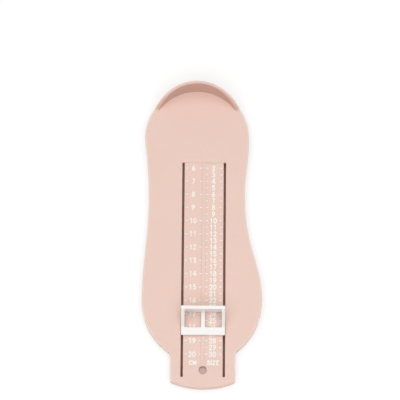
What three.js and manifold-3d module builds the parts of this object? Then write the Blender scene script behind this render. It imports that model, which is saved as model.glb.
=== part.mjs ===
// A foot measuring gauge for children's feet. A foot-shaped plate has a curved wall that the
// heel is pushed against, and a toe stop that slides along a raised scale on two slots.
//
// Millimetres, +Z up. +Y points to the heel and -Y to the toes. Places along the foot are
// distances from the scale's zero, which is the heel wall's inner face, towards the toes.
import * as THREE from "three";
import { mergeVertices } from "three/addons/utils/BufferGeometryUtils.js";
import Module from "manifold-3d";

// Heights and wall thicknesses of the base
const BASE_HEIGHT = 8.5;
const PLATE_THICKNESS = 2.2;
const SKIRT_THICKNESS = 1.8;
const RIB_THICKNESS = 1.5;
const RIB_LIFT = 1; // from the floor to the ribs' lower edges

// Heel, a circle about a point left of the slots' middle line
const HEEL_RADIUS = 38.9;
const HEEL_X = -5.5;
const HEEL_AT = 36.7;

// Waist and ball of the foot, where the plate is narrowest and widest
const WAIST_LEFT_X = -41.1;
const WAIST_LEFT_AT = 86;
const WAIST_RIGHT_X = 30.5;
const WAIST_RIGHT_AT = 81;
const BALL_X = -1;
const BALL_AT = 160;
const BALL_HALF_WIDTH = 44.4;
const BALL_END_LENGTH = 46.2; // from the widest line to the end of the ball's half ellipse

// Length of the straight run-out of each side's curves, which sets how full they are
const HEEL_EASE_LEFT = 6;
const HEEL_EASE_RIGHT = 22;
const WAIST_EASE_LEFT = 27;
const WAIST_EASE_RIGHT_HEEL = 20;
const WAIST_EASE_RIGHT_BALL = 40;
const BALL_EASE_LEFT = 28;
const BALL_EASE_RIGHT = 29;

// Toe tab
const TAB_HALF_WIDTH = 23.9;
const TAB_END_AT = 225.2;
const TAB_END_RADIUS = 62;
const HANG_HOLE_DIAMETER = 6;
const HANG_HOLE_AT = 211.9;
const HANG_BOSS_WALL = 1.6;

// Heel wall, whose rim comes down to the plate in a slightly bulging line
const WALL_HEIGHT = 21;
const WALL_RIM_THICKNESS = 2.2;
const WALL_DRAFT = 0.6; // how much thicker the wall is at its foot
const WALL_FRONT_AT = 15.6;
const WALL_RIM_BULGE = 1.2;

// Slots that guide the slider
const SLOT_SPACING = 30.9;
const SLOT_WIDTH = 1.8;
const SLOT_FROM = 55.7;
const SLOT_TO = 216.8;
const SLOT_DEPTH = 3.5;

// Scale strip between the slots, with its raised lines
const STRIP_TO = 209.7;
const STRIP_RECESS = 0.4;
const RIDGE_WIDTH = 2.7;
const RIDGE_HEIGHT = 0.35;
const MARK_HEIGHT = 0.3;
const MARK_THICKNESS = 0.6;
const MARK_LENGTH = 1.6;
const MARK_EDGE_GAP = 0.9; // between a slot and the outer marks
const SCALE_FROM = 60;
const SCALE_TO = 200;
const CENTIMETRE = 10;
const SIZE_STEP = 5; // one shoe size is half a centimetre of foot

// Stiffening ribs under the plate
const CROSS_RIBS_AT = [89, 126, 163];
const HEEL_RIB_SPACING = 18.5;
const HEEL_END_RIB_GAP = 2.2; // from the slots' heel end to the rib behind it

// Slider
const CLEARANCE = 0.3; // between pieces that slide or clip together
const READING = 166.3; // where the toe stop's face stands on the scale
const STOP_HEIGHT = 15.5; // above the plate
const STOP_THICKNESS = 2.6;
const SLIDER_LENGTH = 19.9;
const REAR_BAR_LENGTH = 5.8;
const BAR_HEIGHT = 2.5;
const CHEEK_THICKNESS = 2.6;
const POST_WIDTH = 3;
const SLIDER_CORNER = 1;
const LEG_LENGTH = 16;
const LEG_INSET = 0.15; // from the slider's sides to its legs

// Snap tongues and keeper
const TONGUE_LENGTH = 4;
const TONGUE_THICKNESS = 1;
const TONGUE_INSET = 1.5; // from a leg's end to its tongue
const BARB_REACH = 0.7;
const BARB_HEIGHT = 1.2;
const KEEPER_THICKNESS = 2;
const KEEPER_EDGE = 1.8; // material round a tongue's socket
const KEEPER_BAR_LENGTH = 5.5;
const CHANNEL_GAP = 1.2; // from the keeper to the long ribs that it runs between

// How the shapes are drawn
const OVERRUN = 1; // how far a cut runs past the faces that it opens
const CURVE_STEPS = 16; // in each curve of an outline, and twice as many in an arc
const HEEL_SIDES = 96;
const HOLE_SIDES = 32;
const WELD = 1e-4; // corners closer than this are one corner

// Levels and places that follow from the sizes above
const PLATE_UNDERSIDE = BASE_HEIGHT - PLATE_THICKNESS;
const STRIP_TOP = BASE_HEIGHT - STRIP_RECESS;
const SLOT_BOTTOM = BASE_HEIGHT - SLOT_DEPTH;
const SLOT_X = SLOT_SPACING / 2;
const SLOT_INNER = SLOT_X - SLOT_WIDTH / 2;
const SLOT_OUTER = SLOT_X + SLOT_WIDTH / 2;
const SLIDER_BOTTOM = BASE_HEIGHT + CLEARANCE;
const LEG_INNER = SLOT_INNER + CLEARANCE;
const LEG_OUTER = SLOT_OUTER - CLEARANCE;
const SLIDER_HALF_WIDTH = LEG_OUTER + LEG_INSET;
const TONGUE_INNER = LEG_OUTER - TONGUE_THICKNESS;
const SOCKET_INNER = TONGUE_INNER - CLEARANCE;
const SOCKET_OUTER = LEG_OUTER + CLEARANCE;
const KEEPER_INNER = SOCKET_INNER - KEEPER_EDGE;
const KEEPER_OUTER = SOCKET_OUTER + KEEPER_EDGE;
const CHANNEL_SIDE = KEEPER_OUTER + CHANNEL_GAP;
const KEEPER_TOP = SLOT_BOTTOM - CLEARANCE;
const KEEPER_BOTTOM = KEEPER_TOP - KEEPER_THICKNESS;
const BARB_TOP = KEEPER_BOTTOM - CLEARANCE;
const BARB_BOTTOM = BARB_TOP - BARB_HEIGHT;

const wasm = await Module();
wasm.setup();

// Solids
// A closed three.js geometry as a solid that can be joined and cut.
function solid(geometry) {
  const bare = geometry.clone();
  bare.deleteAttribute("normal");
  bare.deleteAttribute("uv");
  const merged = mergeVertices(bare, WELD);
  return new wasm.Manifold(
    new wasm.Mesh({
      numProp: 3,
      vertProperties: new Float32Array(merged.attributes.position.array),
      triVerts: new Uint32Array(merged.index.array),
    }),
  );
}

// A box between two corners, with its lengthways places given from the scale's zero.
function box(x0, x1, from, to, z0, z1) {
  const geometry = new THREE.BoxGeometry(x1 - x0, to - from, z1 - z0);
  geometry.translate((x0 + x1) / 2, -(from + to) / 2, (z0 + z1) / 2);
  return solid(geometry);
}

function extruded(shape, depth) {
  return new THREE.ExtrudeGeometry(shape, {
    depth,
    bevelEnabled: false,
    curveSegments: CURVE_STEPS,
  });
}

// A shape in plan, standing between two levels.
function upright(shape, z0, z1) {
  return solid(extruded(shape, z1 - z0).translate(0, 0, z0));
}

// A shape in side view, drawn in (y, z), between two places across the gauge.
function across(shape, x0, x1) {
  const turn = new THREE.Matrix4().makeBasis(
    new THREE.Vector3(0, 1, 0),
    new THREE.Vector3(0, 0, 1),
    new THREE.Vector3(1, 0, 0),
  );
  return solid(extruded(shape, x1 - x0).applyMatrix4(turn).translate(x0, 0, 0));
}

// A shape in end view, drawn in (x, z), between two places along the gauge.
function along(shape, from, to) {
  const turn = new THREE.Matrix4().makeBasis(
    new THREE.Vector3(1, 0, 0),
    new THREE.Vector3(0, 0, 1),
    new THREE.Vector3(0, -1, 0),
  );
  return solid(extruded(shape, to - from).applyMatrix4(turn).translate(0, -from, 0));
}

// A round bar or cone that stands on a point of the plan.
function round(x, at, topRadius, footRadius, z0, z1, sides) {
  const geometry = new THREE.CylinderGeometry(topRadius, footRadius, z1 - z0, sides);
  geometry.rotateX(Math.PI / 2).translate(x, -at, (z0 + z1) / 2);
  return solid(geometry);
}

function polygon(points) {
  return new THREE.Shape(points.map(([x, y]) => new THREE.Vector2(x, y)));
}

const joined = (solids) => wasm.Manifold.union(solids);
const bothSides = (make) => joined([make(-1), make(1)]);

// A box on one side of the middle line, between two distances from it.
function sideBox(side, inner, outer, from, to, z0, z1) {
  const [x0, x1] = side < 0 ? [-outer, -inner] : [inner, outer];
  return box(x0, x1, from, to, z0, z1);
}

// Base
// The plate's outline, drawn inwards by an inset: heel arc, left side, ball, toe tab, right side.
function plateShape(inset) {
  const heelRadius = HEEL_RADIUS - inset;
  const ballX = BALL_HALF_WIDTH - inset;
  const ballY = BALL_END_LENGTH - inset;
  const tab = TAB_HALF_WIDTH - inset;
  const endRadius = TAB_END_RADIUS - inset;
  const waistLeft = WAIST_LEFT_X + inset;
  const waistRight = WAIST_RIGHT_X - inset;
  const heelLeft = HEEL_X - heelRadius;
  const heelRight = HEEL_X + heelRadius;
  const ballLeft = BALL_X - ballX;
  const ballRight = BALL_X + ballX;
  const leftAngle = Math.PI + Math.acos((tab + BALL_X) / ballX);
  const rightAngle = -Math.acos((tab - BALL_X) / ballX);
  const cornerAngle = Math.asin(tab / endRadius);
  const down = -Math.PI / 2;

  const shape = new THREE.Shape();
  shape.absarc(HEEL_X, -HEEL_AT, heelRadius, 0, Math.PI, false);
  shape.bezierCurveTo(
    heelLeft,
    -HEEL_AT - HEEL_EASE_LEFT,
    waistLeft,
    -WAIST_LEFT_AT + WAIST_EASE_LEFT,
    waistLeft,
    -WAIST_LEFT_AT,
  );
  shape.bezierCurveTo(
    waistLeft,
    -WAIST_LEFT_AT - WAIST_EASE_LEFT,
    ballLeft,
    -BALL_AT + BALL_EASE_LEFT,
    ballLeft,
    -BALL_AT,
  );
  shape.absellipse(BALL_X, -BALL_AT, ballX, ballY, Math.PI, leftAngle, false, 0);
  shape.absarc(0, TAB_END_RADIUS - TAB_END_AT, endRadius, down - cornerAngle, down + cornerAngle, false);
  shape.absellipse(BALL_X, -BALL_AT, ballX, ballY, rightAngle, 0, false, 0);
  shape.bezierCurveTo(
    ballRight,
    -BALL_AT + BALL_EASE_RIGHT,
    waistRight,
    -WAIST_RIGHT_AT - WAIST_EASE_RIGHT_BALL,
    waistRight,
    -WAIST_RIGHT_AT,
  );
  shape.bezierCurveTo(
    waistRight,
    -WAIST_RIGHT_AT + WAIST_EASE_RIGHT_HEEL,
    heelRight,
    -HEEL_AT - HEEL_EASE_RIGHT,
    heelRight,
    -HEEL_AT,
  );
  return shape;
}

// The base's side view: the plate, and the heel wall with its rim falling to the plate.
function sideView() {
  const heelEnd = HEEL_RADIUS - HEEL_AT;
  const wallTop = new THREE.Vector2(heelEnd, BASE_HEIGHT + WALL_HEIGHT);
  const wallFront = new THREE.Vector2(-WALL_FRONT_AT, BASE_HEIGHT);
  const rim = wallTop.clone().sub(wallFront).normalize();
  const control = wallTop.clone().add(wallFront).multiplyScalar(0.5);
  control.add(new THREE.Vector2(-rim.y, rim.x).multiplyScalar(2 * WALL_RIM_BULGE));
  const toe = -TAB_END_AT - OVERRUN;

  const shape = new THREE.Shape();
  shape.moveTo(toe, 0);
  shape.lineTo(heelEnd + OVERRUN, 0);
  shape.lineTo(heelEnd + OVERRUN, wallTop.y);
  shape.lineTo(wallTop.x, wallTop.y);
  shape.quadraticCurveTo(control.x, control.y, wallFront.x, wallFront.y);
  shape.lineTo(toe, BASE_HEIGHT);
  return shape;
}

// What is left of the hollow under the plate: the space inside the skirt, less what stands in it.
function underside() {
  const hollow = upright(plateShape(SKIRT_THICKNESS), -OVERRUN, PLATE_UNDERSIDE);
  const wide = BALL_HALF_WIDTH + HEEL_RADIUS;
  const longRibOuter = CHANNEL_SIDE + RIB_THICKNESS;
  const heelRibTo = SLOT_FROM - HEEL_END_RIB_GAP;
  const heelRibFrom = heelRibTo - RIB_THICKNESS;
  const tabAngle = Math.acos((TAB_HALF_WIDTH - SKIRT_THICKNESS) / BALL_HALF_WIDTH);
  const tabFrom = BALL_AT + BALL_END_LENGTH * Math.sin(tabAngle);
  const rib = (x0, x1, from, to) => box(x0, x1, from, to, RIB_LIFT, PLATE_UNDERSIDE + OVERRUN);
  const sideRib = (side, inner, outer, from, to) =>
    sideBox(side, inner, outer, from, to, RIB_LIFT, PLATE_UNDERSIDE + OVERRUN);

  const ribs = [rib(-wide, wide, heelRibFrom, heelRibTo)];
  for (const step of [-1, 0, 1]) {
    const x = HEEL_X + step * HEEL_RIB_SPACING;
    ribs.push(rib(x - RIB_THICKNESS / 2, x + RIB_THICKNESS / 2, -OVERRUN, heelRibTo));
  }
  for (const at of CROSS_RIBS_AT) {
    ribs.push(bothSides((side) => sideRib(side, CHANNEL_SIDE, wide, at, at + RIB_THICKNESS)));
  }
  ribs.push(bothSides((side) => sideRib(side, CHANNEL_SIDE, longRibOuter, heelRibFrom, tabFrom)));
  ribs.push(bothSides((side) => sideRib(side, CHANNEL_SIDE, wide, tabFrom - RIB_THICKNESS, tabFrom)));
  const collars = bothSides((side) =>
    sideBox(
      side,
      SLOT_INNER - RIB_THICKNESS,
      SLOT_OUTER + RIB_THICKNESS,
      SLOT_FROM - RIB_THICKNESS,
      SLOT_TO + RIB_THICKNESS,
      SLOT_BOTTOM,
      PLATE_UNDERSIDE + OVERRUN,
    ),
  );
  const bossRadius = HANG_HOLE_DIAMETER / 2 + HANG_BOSS_WALL;
  const boss = round(0, HANG_HOLE_AT, bossRadius, bossRadius, RIB_LIFT, BASE_HEIGHT, HOLE_SIDES);
  return hollow.subtract(joined([...ribs, collars, boss]));
}

// The recess of the scale strip, less the ridge and the marks that stand in it.
function stripRecess() {
  const recess = box(-SLOT_INNER, SLOT_INNER, SLOT_FROM, STRIP_TO, STRIP_TOP, BASE_HEIGHT + OVERRUN);
  const bottom = STRIP_TOP - OVERRUN;
  const half = RIDGE_WIDTH / 2;
  const raised = [box(-half, half, SLOT_FROM, STRIP_TO, bottom, STRIP_TOP + RIDGE_HEIGHT)];
  const markTop = STRIP_TOP + MARK_HEIGHT;
  const outerEnd = SLOT_INNER - MARK_EDGE_GAP;
  const addMarks = (side, step) => {
    for (let at = SCALE_FROM; at <= SCALE_TO; at += step) {
      const from = at - MARK_THICKNESS / 2;
      const to = at + MARK_THICKNESS / 2;
      raised.push(sideBox(side, half, half + MARK_LENGTH, from, to, bottom, markTop));
      raised.push(sideBox(side, outerEnd - MARK_LENGTH, outerEnd, from, to, bottom, markTop));
    }
  };
  addMarks(-1, CENTIMETRE);
  addMarks(1, SIZE_STEP);
  return recess.subtract(joined(raised));
}

function baseShell() {
  const wide = BALL_HALF_WIDTH + HEEL_RADIUS;
  const top = BASE_HEIGHT + WALL_HEIGHT;
  const blank = upright(plateShape(0), 0, top).intersect(across(sideView(), -wide, wide));
  const rimRadius = HEEL_RADIUS - WALL_RIM_THICKNESS;
  const footRadius = rimRadius - WALL_DRAFT;
  const heelSpace = round(HEEL_X, HEEL_AT, rimRadius, footRadius, BASE_HEIGHT, top, HEEL_SIDES);
  const slots = bothSides((side) =>
    sideBox(side, SLOT_INNER, SLOT_OUTER, SLOT_FROM, SLOT_TO, 0, BASE_HEIGHT + OVERRUN),
  );
  const holeRadius = HANG_HOLE_DIAMETER / 2;
  const above = BASE_HEIGHT + OVERRUN;
  const hole = round(0, HANG_HOLE_AT, holeRadius, holeRadius, -OVERRUN, above, HOLE_SIDES);
  return blank.subtract(joined([heelSpace, underside(), slots, hole])).subtract(stripRecess());
}

// Slider
// Each cheek's side view: as high as the toe stop at its front, down to the rear bar behind.
function cheekShape() {
  const top = BASE_HEIGHT + STOP_HEIGHT;
  const barTop = SLIDER_BOTTOM + BAR_HEIGHT;
  const end = READING + SLIDER_LENGTH;
  return polygon([
    [-end, SLIDER_BOTTOM],
    [-READING, SLIDER_BOTTOM],
    [-READING, top],
    [-READING - STOP_THICKNESS, top],
    [-end + REAR_BAR_LENGTH, barTop],
    [-end, barTop],
  ]);
}

// The slider's outline in plan, with rounded corners.
function sliderShape() {
  const r = SLIDER_CORNER;
  const x = SLIDER_HALF_WIDTH;
  const heel = -READING;
  const toe = -READING - SLIDER_LENGTH;
  const shape = new THREE.Shape();
  shape.absarc(x - r, toe + r, r, -Math.PI / 2, 0, false);
  shape.absarc(x - r, heel - r, r, 0, Math.PI / 2, false);
  shape.absarc(-x + r, heel - r, r, Math.PI / 2, Math.PI, false);
  shape.absarc(-x + r, toe + r, r, Math.PI, 1.5 * Math.PI, false);
  return shape;
}

// Where a leg's two tongues start along the foot.
const tongueStarts = () => [
  READING + TONGUE_INSET,
  READING + LEG_LENGTH - TONGUE_INSET - TONGUE_LENGTH,
];

function snapTongue(side, from) {
  const profile = polygon([
    [TONGUE_INNER, BARB_BOTTOM],
    [LEG_OUTER, BARB_BOTTOM],
    [LEG_OUTER + BARB_REACH, BARB_TOP],
    [LEG_OUTER, BARB_TOP],
    [LEG_OUTER, SLOT_BOTTOM + OVERRUN],
    [TONGUE_INNER, SLOT_BOTTOM + OVERRUN],
  ]);
  const tongue = along(profile, from, from + TONGUE_LENGTH);
  return side < 0 ? tongue.mirror([1, 0, 0]) : tongue;
}

function sliderFrame() {
  const end = READING + SLIDER_LENGTH;
  const half = SLIDER_HALF_WIDTH;
  const top = BASE_HEIGHT + STOP_HEIGHT;
  const barTop = SLIDER_BOTTOM + BAR_HEIGHT;
  const stop = box(-half, half, READING, READING + STOP_THICKNESS, SLIDER_BOTTOM, top);
  const rearBar = box(-half, half, end - REAR_BAR_LENGTH, end, SLIDER_BOTTOM, barTop);
  const post = box(-POST_WIDTH / 2, POST_WIDTH / 2, READING, end, SLIDER_BOTTOM, barTop);
  const cheeks = joined([
    across(cheekShape(), -half, -half + CHEEK_THICKNESS),
    across(cheekShape(), half - CHEEK_THICKNESS, half),
  ]);
  const above = joined([stop, rearBar, post, cheeks]).intersect(upright(sliderShape(), 0, top));
  const legs = bothSides((side) =>
    sideBox(
      side,
      LEG_INNER,
      LEG_OUTER,
      READING + SLIDER_CORNER,
      READING + LEG_LENGTH,
      SLOT_BOTTOM,
      SLIDER_BOTTOM + OVERRUN,
    ),
  );
  const tongues = tongueStarts().map((from) => bothSides((side) => snapTongue(side, from)));
  return joined([above, legs, ...tongues]);
}

// A U under the scale strip: a bar below the toe stop, and an arm below each slot. It is open
// towards the toes, so that it passes on both sides of the hang hole's boss.
function sliderKeeper() {
  const barTo = READING + KEEPER_BAR_LENGTH;
  const armTo = READING + LEG_LENGTH;
  const bar = box(-KEEPER_OUTER, KEEPER_OUTER, READING, barTo, KEEPER_BOTTOM, KEEPER_TOP);
  const arms = bothSides((side) =>
    sideBox(side, KEEPER_INNER, KEEPER_OUTER, READING, armTo, KEEPER_BOTTOM, KEEPER_TOP),
  );
  const sockets = tongueStarts().map((start) =>
    bothSides((side) =>
      sideBox(
        side,
        SOCKET_INNER,
        SOCKET_OUTER,
        start - CLEARANCE,
        start + TONGUE_LENGTH + CLEARANCE,
        KEEPER_BOTTOM - OVERRUN,
        KEEPER_TOP + OVERRUN,
      ),
    ),
  );
  return joined([bar, arms]).subtract(joined(sockets));
}

// Assembly
const pinkPlastic = new THREE.MeshStandardMaterial({ color: 0xebcec1, roughness: 0.5, metalness: 0 });
const whitePlastic = new THREE.MeshStandardMaterial({ color: 0xf6f4f2, roughness: 0.4, metalness: 0 });

function named(name, shape, material) {
  const { numProp, vertProperties, triVerts } = shape.getMesh();
  const geometry = new THREE.BufferGeometry();
  geometry.setAttribute("position", new THREE.BufferAttribute(vertProperties, numProp));
  geometry.setIndex(new THREE.BufferAttribute(triVerts, 1));
  const mesh = new THREE.Mesh(geometry, material);
  mesh.name = name;
  return mesh;
}

const slider = new THREE.Group();
slider.add(named("slider_frame", sliderFrame(), whitePlastic));
slider.add(named("slider_keeper", sliderKeeper(), whitePlastic));

const gauge = new THREE.Group();
gauge.add(named("base_shell", baseShell(), pinkPlastic), slider);

// The origin is under the middle of the gauge, on the floor.
const bounds = new THREE.Box3().setFromObject(gauge);
const middle = bounds.getCenter(new THREE.Vector3());
gauge.position.set(-middle.x, -middle.y, -bounds.min.z);

const root = new THREE.Group();
root.add(gauge);
export default root;
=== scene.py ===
# %% [markdown]
# # A foot measuring gauge for children
# The gauge is a pink plastic plate in the outline of a foot. The heel goes against a curved wall,
# and a white toe stop slides along two slots beside a raised scale, until it touches the toes.
# This first cell loads the construction model, which gives the real sizes and places of the
# moulding and the slider. Everything below is built around it, in the same frame.

# %% The construction model and its box
import math

import bmesh
import bpy
from mathutils import Matrix, Vector


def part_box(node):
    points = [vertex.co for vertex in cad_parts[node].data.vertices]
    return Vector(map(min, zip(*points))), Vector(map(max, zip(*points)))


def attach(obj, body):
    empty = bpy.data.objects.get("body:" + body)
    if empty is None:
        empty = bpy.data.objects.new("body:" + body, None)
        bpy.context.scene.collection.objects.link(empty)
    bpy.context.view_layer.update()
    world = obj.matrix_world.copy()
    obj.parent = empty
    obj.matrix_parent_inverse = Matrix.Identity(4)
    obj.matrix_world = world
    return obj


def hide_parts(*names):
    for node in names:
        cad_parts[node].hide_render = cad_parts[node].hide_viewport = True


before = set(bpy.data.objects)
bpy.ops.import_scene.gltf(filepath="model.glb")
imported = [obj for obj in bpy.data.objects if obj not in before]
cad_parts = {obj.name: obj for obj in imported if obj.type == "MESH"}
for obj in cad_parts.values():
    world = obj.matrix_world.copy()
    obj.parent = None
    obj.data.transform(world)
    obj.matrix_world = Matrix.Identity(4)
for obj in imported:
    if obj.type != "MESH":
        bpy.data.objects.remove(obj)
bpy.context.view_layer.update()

# %% [markdown]
# ## One set of axes for all the shapes
# A gauge is drawn most easily from the line that it measures from. So every shape below is
# modelled in millimetres, with x from the middle line between the slots, -y from the scale's
# zero towards the toes, and z up from the floor. One matrix then takes the shape to its place
# in metres. The zero is the inner face of the heel wall, and the middle line is the keeper's.

# %% From millimetres on the gauge to the frame
MM = 0.001
RIM_THICKNESS = 2.2

base_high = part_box("base_shell")[1]
stop_low, stop_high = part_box("slider_frame")
keeper_low, keeper_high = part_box("slider_keeper")
middle_x = (keeper_low.x + keeper_high.x) / 2
zero_y = base_high.y - RIM_THICKNESS * MM
TO_FRAME = Matrix.Translation((middle_x, zero_y, 0)) @ Matrix.Scale(MM, 4)
READING = (zero_y - stop_high.y) / MM
print("the toe stop stands at", round(READING, 1), "mm on the scale")

# %% [markdown]
# ## Camera
# The gauge was photographed from almost straight above, with a long lens, and lies a little
# turned in the picture. A camera that has no rotation looks straight down in Blender, so two
# turns are enough: the tilt about x, and then the small roll about the line of sight.

# %% Camera
CAMERA_AIM = Vector((-2.98, -84.33, 8.1))
CAMERA_DISTANCE = 1523
CAMERA_TILT = math.radians(12)
CAMERA_ROLL = math.radians(0.47)
FOCAL_LENGTH = 183.8
NEAREST_SEEN = 0.05

turn = Matrix.Rotation(CAMERA_TILT, 4, "X") @ Matrix.Rotation(CAMERA_ROLL, 4, "Z")
sight = (turn @ Vector((0, 0, -1))).normalized()
camera = bpy.data.objects.new("camera", bpy.data.cameras.new("camera"))
camera.data.lens = FOCAL_LENGTH
camera.data.clip_start = NEAREST_SEEN
camera.matrix_world = Matrix.Translation(TO_FRAME @ (CAMERA_AIM - CAMERA_DISTANCE * sight)) @ turn
bpy.context.scene.collection.objects.link(camera)
bpy.context.scene.camera = camera
print("camera at", [round(value, 3) for value in camera.location])

# %% [markdown]
# ## Writing materials as sums
# Node trees are hard to read as code, because each sum takes four lines. This small class wraps
# an output socket, so that Python's own operators add the Math nodes: 1 - mask is one line.
# The reflected forms, such as __rsub__, are what make a plain number work on the left side.

# %% A socket that can be added and multiplied
class Value:
    """An output socket of a node tree, on which Python's operators work."""

    def __init__(self, tree, socket):
        self.tree = tree
        self.socket = socket

    def maths(self, operation, *inputs):
        node = self.tree.nodes.new("ShaderNodeMath")
        node.operation = operation
        for slot, value in zip(node.inputs, inputs):
            feed(self.tree, slot, value)
        return Value(self.tree, node.outputs[0])

    def __add__(self, other):
        return self.maths("ADD", self, other)

    __radd__ = __add__

    def __sub__(self, other):
        return self.maths("SUBTRACT", self, other)

    def __rsub__(self, other):
        return self.maths("SUBTRACT", other, self)

    def __mul__(self, other):
        return self.maths("MULTIPLY", self, other)

    __rmul__ = __mul__


def feed(tree, slot, value):
    """Links a value to an input socket, or sets it there if it is a plain number or colour."""
    if isinstance(value, Value):
        tree.links.new(value.socket, slot)
    else:
        slot.default_value = value


# %% A material, with one method for every other node
SUBSURFACE_SHARE = 0.6
MIX_FIRST, MIX_SECOND, MIX_RESULT = 6, 7, 2


class Finish:
    """A material around one Principled BSDF."""

    def __init__(self, name, colour, roughness):
        self.material = bpy.data.materials.new(name)
        self.material.use_nodes = True
        self.tree = self.material.node_tree
        self.shader = self.tree.nodes["Principled BSDF"]
        self.material.diffuse_color = (*colour, 1)
        self.set("Base Color", (*colour, 1))
        self.set("Roughness", roughness)

    def node(self, kind, settings, inputs, output=0):
        """Adds a node, sets it up, feeds its sockets and gives one output."""
        node = self.tree.nodes.new(kind)
        for name, setting in settings.items():
            setattr(node, name, setting)
        for name, value in inputs.items():
            feed(self.tree, node.inputs[name], value)
        return Value(self.tree, node.outputs[output])

    def set(self, name, value):
        feed(self.tree, self.shader.inputs[name], value)

    def glow_inside(self, depth, colour):
        """Lets light spread under the surface, as far as a depth in millimetres."""
        self.set("Subsurface Weight", SUBSURFACE_SHARE)
        self.set("Subsurface Radius", colour)
        self.set("Subsurface Scale", depth * MM)

    def place(self):
        """Where a point is on the object, in metres."""
        return self.node("ShaderNodeTexCoord", {}, {}, "Object")

    def vectors(self, operation, first, second, output="Vector"):
        """One step of vector arithmetic."""
        settings = {"operation": operation}
        return self.node("ShaderNodeVectorMath", settings, {0: first, 1: second}, output)

    def axis(self, vector, name):
        """One of a vector's three numbers."""
        return self.node("ShaderNodeSeparateXYZ", {}, {"Vector": vector}, name)

    def noise(self, size, detail=2, stretch=(1, 1, 1)):
        """A cloudy pattern from 0 to 1 whose lumps are about as big as size, in millimetres."""
        scale = [share / (size * MM) for share in stretch]
        moved = self.node("ShaderNodeMapping", {}, {"Vector": self.place(), "Scale": scale})
        return self.node("ShaderNodeTexNoise", {}, {"Vector": moved, "Scale": 1, "Detail": detail})

    def ramp(self, value, low, high):
        """0 below low, 1 above high, and smooth between them."""
        settings = {"interpolation_type": "SMOOTHSTEP"}
        return self.node(
            "ShaderNodeMapRange", settings, {"Value": value, "From Min": low, "From Max": high}
        )

    def colours(self, blend_type, share, first, second):
        settings = {"data_type": "RGBA", "blend_type": blend_type}
        inputs = {"Factor": share, MIX_FIRST: first, MIX_SECOND: (*second, 1)}
        return self.node("ShaderNodeMix", settings, inputs, MIX_RESULT)

    def mix(self, share, low, high):
        """A colour between two colours."""
        return self.colours("MIX", share, (*low, 1), high)

    def multiplied(self, colour, share, factor):
        """A colour that is multiplied by a factor where share is 1."""
        return self.colours("MULTIPLY", share, colour, factor)

    def bump(self, height, depth, strength):
        """Lets a pattern tilt the surface, as a depth in millimetres."""
        inputs = {"Height": height, "Distance": depth * MM, "Strength": strength}
        self.set("Normal", self.node("ShaderNodeBump", {}, inputs))


print("materials are ready to be written as sums")

# %% [markdown]
# ## Pink plastic
# The moulding is a pastel plastic with the fine satin grain of a spark-eroded mould. A real one
# isn't one flat colour: the pigment flows in broad, faint clouds, and the gloss varies with it.
# The grain is bump, the clouds go into the colour, and both go into the roughness. Thin pastel
# plastic also lets light in, which warms its shaded side: that is the subsurface weight.

# %% Satin pink plastic
PINK = (0.835, 0.624, 0.546)
PINK_GLOW_DEPTH = 0.7
PINK_GLOSS = 0.36
PINK_SPREAD = (1, 0.5, 0.4)
PINK_RANGE = (0.965, 1.035)
CLOUD_SIZE = 38
CLOUD_DETAIL = 3
CLOUD_SHARE = 0.75
FLECK_SIZE = 2.5
GRAIN_SIZE = 0.32
GRAIN_DEPTH = 0.02
GRAIN_STRENGTH = 0.35
SATIN_ROUGHNESS = 0.41
CLOUD_ROUGHNESS = 0.08
GRAIN_ROUGHNESS = 0.04


def tints(colour, factors):
    """The same colour, once for each factor."""
    return [[min(1, channel * factor) for channel in colour] for factor in factors]


def satin_plastic(name, colour, depth, gloss):
    """A finish with clouds and grain, and the colour and roughness that it has so far."""
    finish = Finish(name, colour, SATIN_ROUGHNESS)
    finish.glow_inside(depth, PINK_SPREAD)
    finish.set("Specular IOR Level", gloss)
    clouds = finish.noise(CLOUD_SIZE, CLOUD_DETAIL)
    flecks = finish.noise(FLECK_SIZE)
    grain = finish.noise(GRAIN_SIZE)
    finish.bump(grain, GRAIN_DEPTH, GRAIN_STRENGTH)
    share = clouds * CLOUD_SHARE + flecks * (1 - CLOUD_SHARE)
    roughness = SATIN_ROUGHNESS + clouds * CLOUD_ROUGHNESS + grain * GRAIN_ROUGHNESS
    return finish, finish.mix(share, *tints(colour, PINK_RANGE)), roughness


moulded, clouded_pink, satin = satin_plastic("pink_plastic", PINK, PINK_GLOW_DEPTH, PINK_GLOSS)
print("satin pink has", len(moulded.tree.nodes), "nodes so far")

# %% [markdown]
# ## Painted highlight and shade on the moulding, and its polish
# Its rounded side edges get a painted highlight, a little paler than the plate. The heel cup and
# the hang hole get painted shade, a deeper pink, where pink lights pink. The corners beside the
# ridge of the scale get a thin line of painted shade, and the grain beside the slots is polished
# by the slider. All of this could be painted on a map. Masks made of sums on a point's place and
# normal need no map, and stay sharp from close by. Each is 1 where the thing shows, 0 elsewhere,
# and soft between.

# %% Which way the surface faces, seen from the heel
BASE_HEIGHT = 8.5
HEEL_RADIUS = 38.9
HEEL_X = -5.5
HEEL_AT = HEEL_RADIUS - RIM_THICKNESS
ROUNDING_STARTS = (0.1, 0.4)
ROUNDING_ENDS = (0.97, 0.9995)
TURNS_TO_SIDE = (0.1, 0.3)
TURNS_OUT = (0, 0.2)
TURNS_IN = (0.1, 0.6)
SHADE_RISES_OVER = 1


def facing_out(finish, normal):
    """About 1 where a surface faces away from the middle of the heel, -1 where it faces it."""
    centre = TO_FRAME @ Vector((HEEL_X, -HEEL_AT, 0))
    from_centre = finish.vectors("SUBTRACT", finish.place(), centre)
    return finish.vectors("DOT_PRODUCT", normal, from_centre, "Value") * (1 / (HEEL_AT * MM))


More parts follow.
